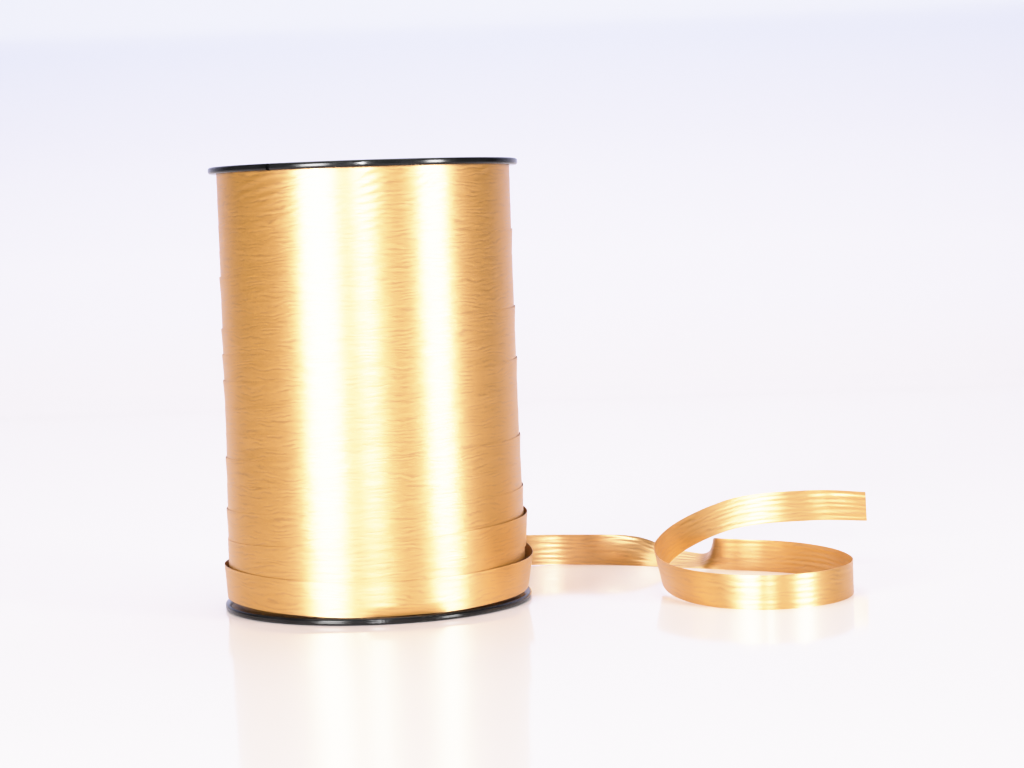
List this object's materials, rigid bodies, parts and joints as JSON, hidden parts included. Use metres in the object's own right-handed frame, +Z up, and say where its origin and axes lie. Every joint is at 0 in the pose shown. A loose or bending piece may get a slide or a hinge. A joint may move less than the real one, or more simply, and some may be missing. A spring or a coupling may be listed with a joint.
{
  "type": "curling ribbon spool",
  "caption": "Upright spool of satin curling ribbon between two thin round flanges, with slack wraps at the foot and a loose curled tail.",
  "frame": {"origin": "centre of the spool's foot, on the surface it stands on", "axes": "+Z up along the spool's axis; the free tail lies towards +X; -Y faces the viewer"},
  "size_m": [0.2025, 0.1132, 0.133],
  "materials": {
    "gold_ribbon": "pearl satin with fine lengthwise streaks",
    "black_plastic": "glossy injection moulding",
    "paperboard": "spirally wound kraft board",
    "clear_tape": "satin tape",
    "label_paper": "coated paper"
  },
  "bodies": {
    "root": {"core_tube": "paperboard", "bottom_flange": "black_plastic", "top_flange": "black_plastic", "ribbon_winding": "gold_ribbon", "loose_wraps": "gold_ribbon", "ribbon_tail": "gold_ribbon", "start_tape": "clear_tape", "top_label": "label_paper"}
  },
  "joints": []
}
